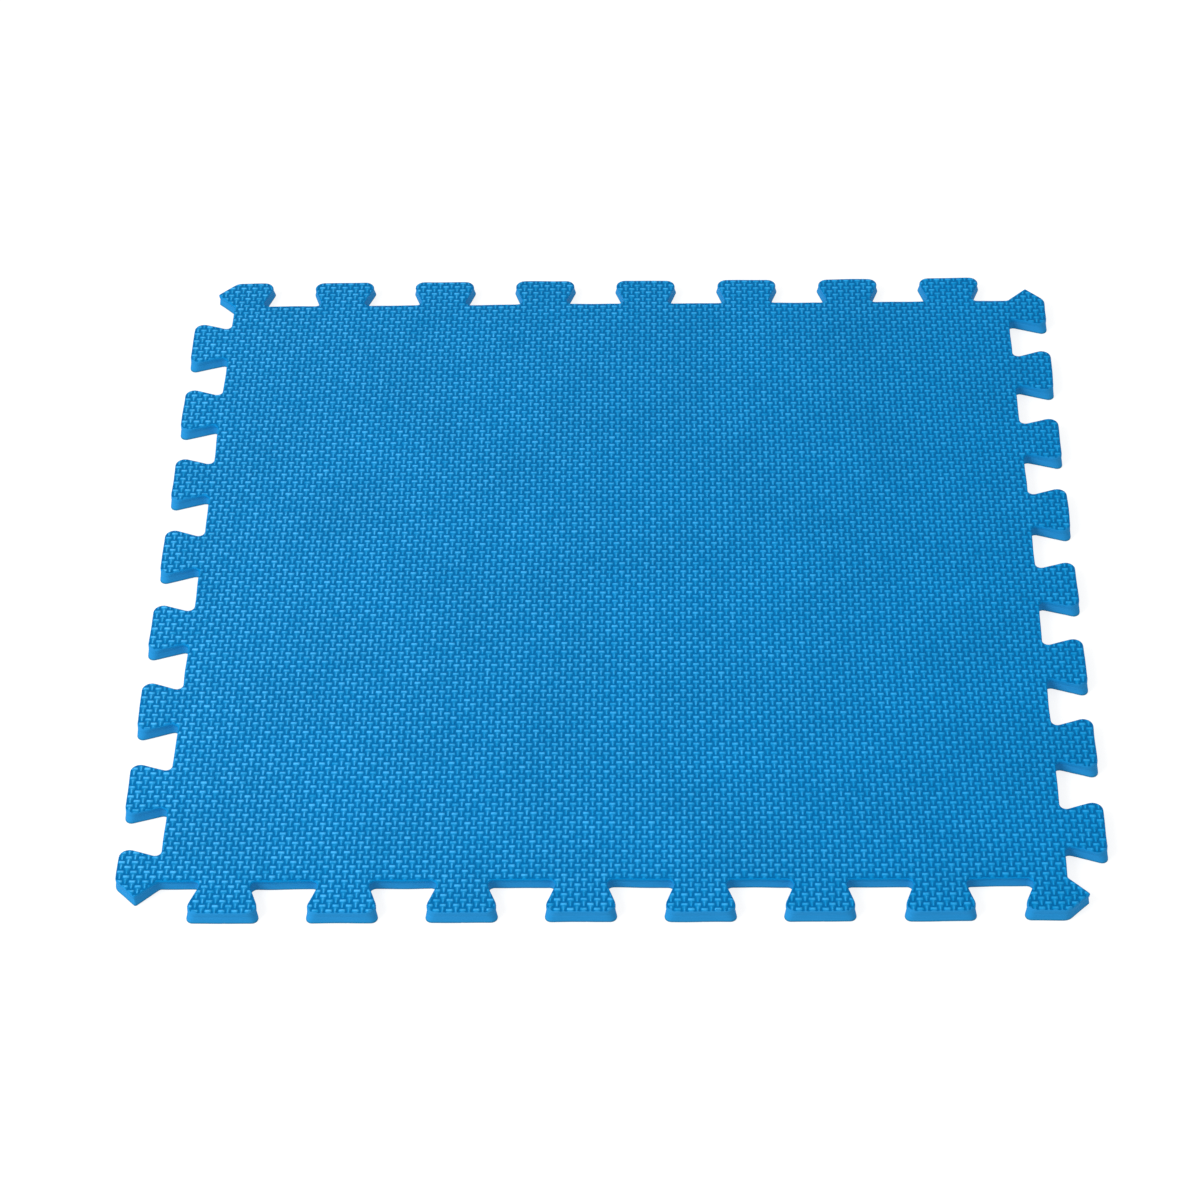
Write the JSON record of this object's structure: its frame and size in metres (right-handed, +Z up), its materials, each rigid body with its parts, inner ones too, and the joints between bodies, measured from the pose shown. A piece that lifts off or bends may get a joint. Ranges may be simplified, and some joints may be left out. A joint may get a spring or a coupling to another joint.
{
  "type": "interlocking foam blocking mat",
  "caption": "Square interlocking foam mat with dovetailed jigsaw tabs on every side, an embossed work face for pinning out damp knitting, and a flat underside.",
  "frame": {"origin": "centre of the underside, on the surface that the mat lies on", "axes": "+Z up out of the embossed work face; +X and +Y along two sides of the tile, with the side nearest the viewer in the picture facing -Y"},
  "size_m": [0.6274, 0.6274, 0.01],
  "materials": {
    "top_skin_foam": "matte",
    "core_foam": "matte",
    "base_skin_foam": "matte"
  },
  "bodies": {
    "root": {"embossed_top_skin": "top_skin_foam", "foam_core": "core_foam", "base_skin": "base_skin_foam"}
  },
  "joints": []
}
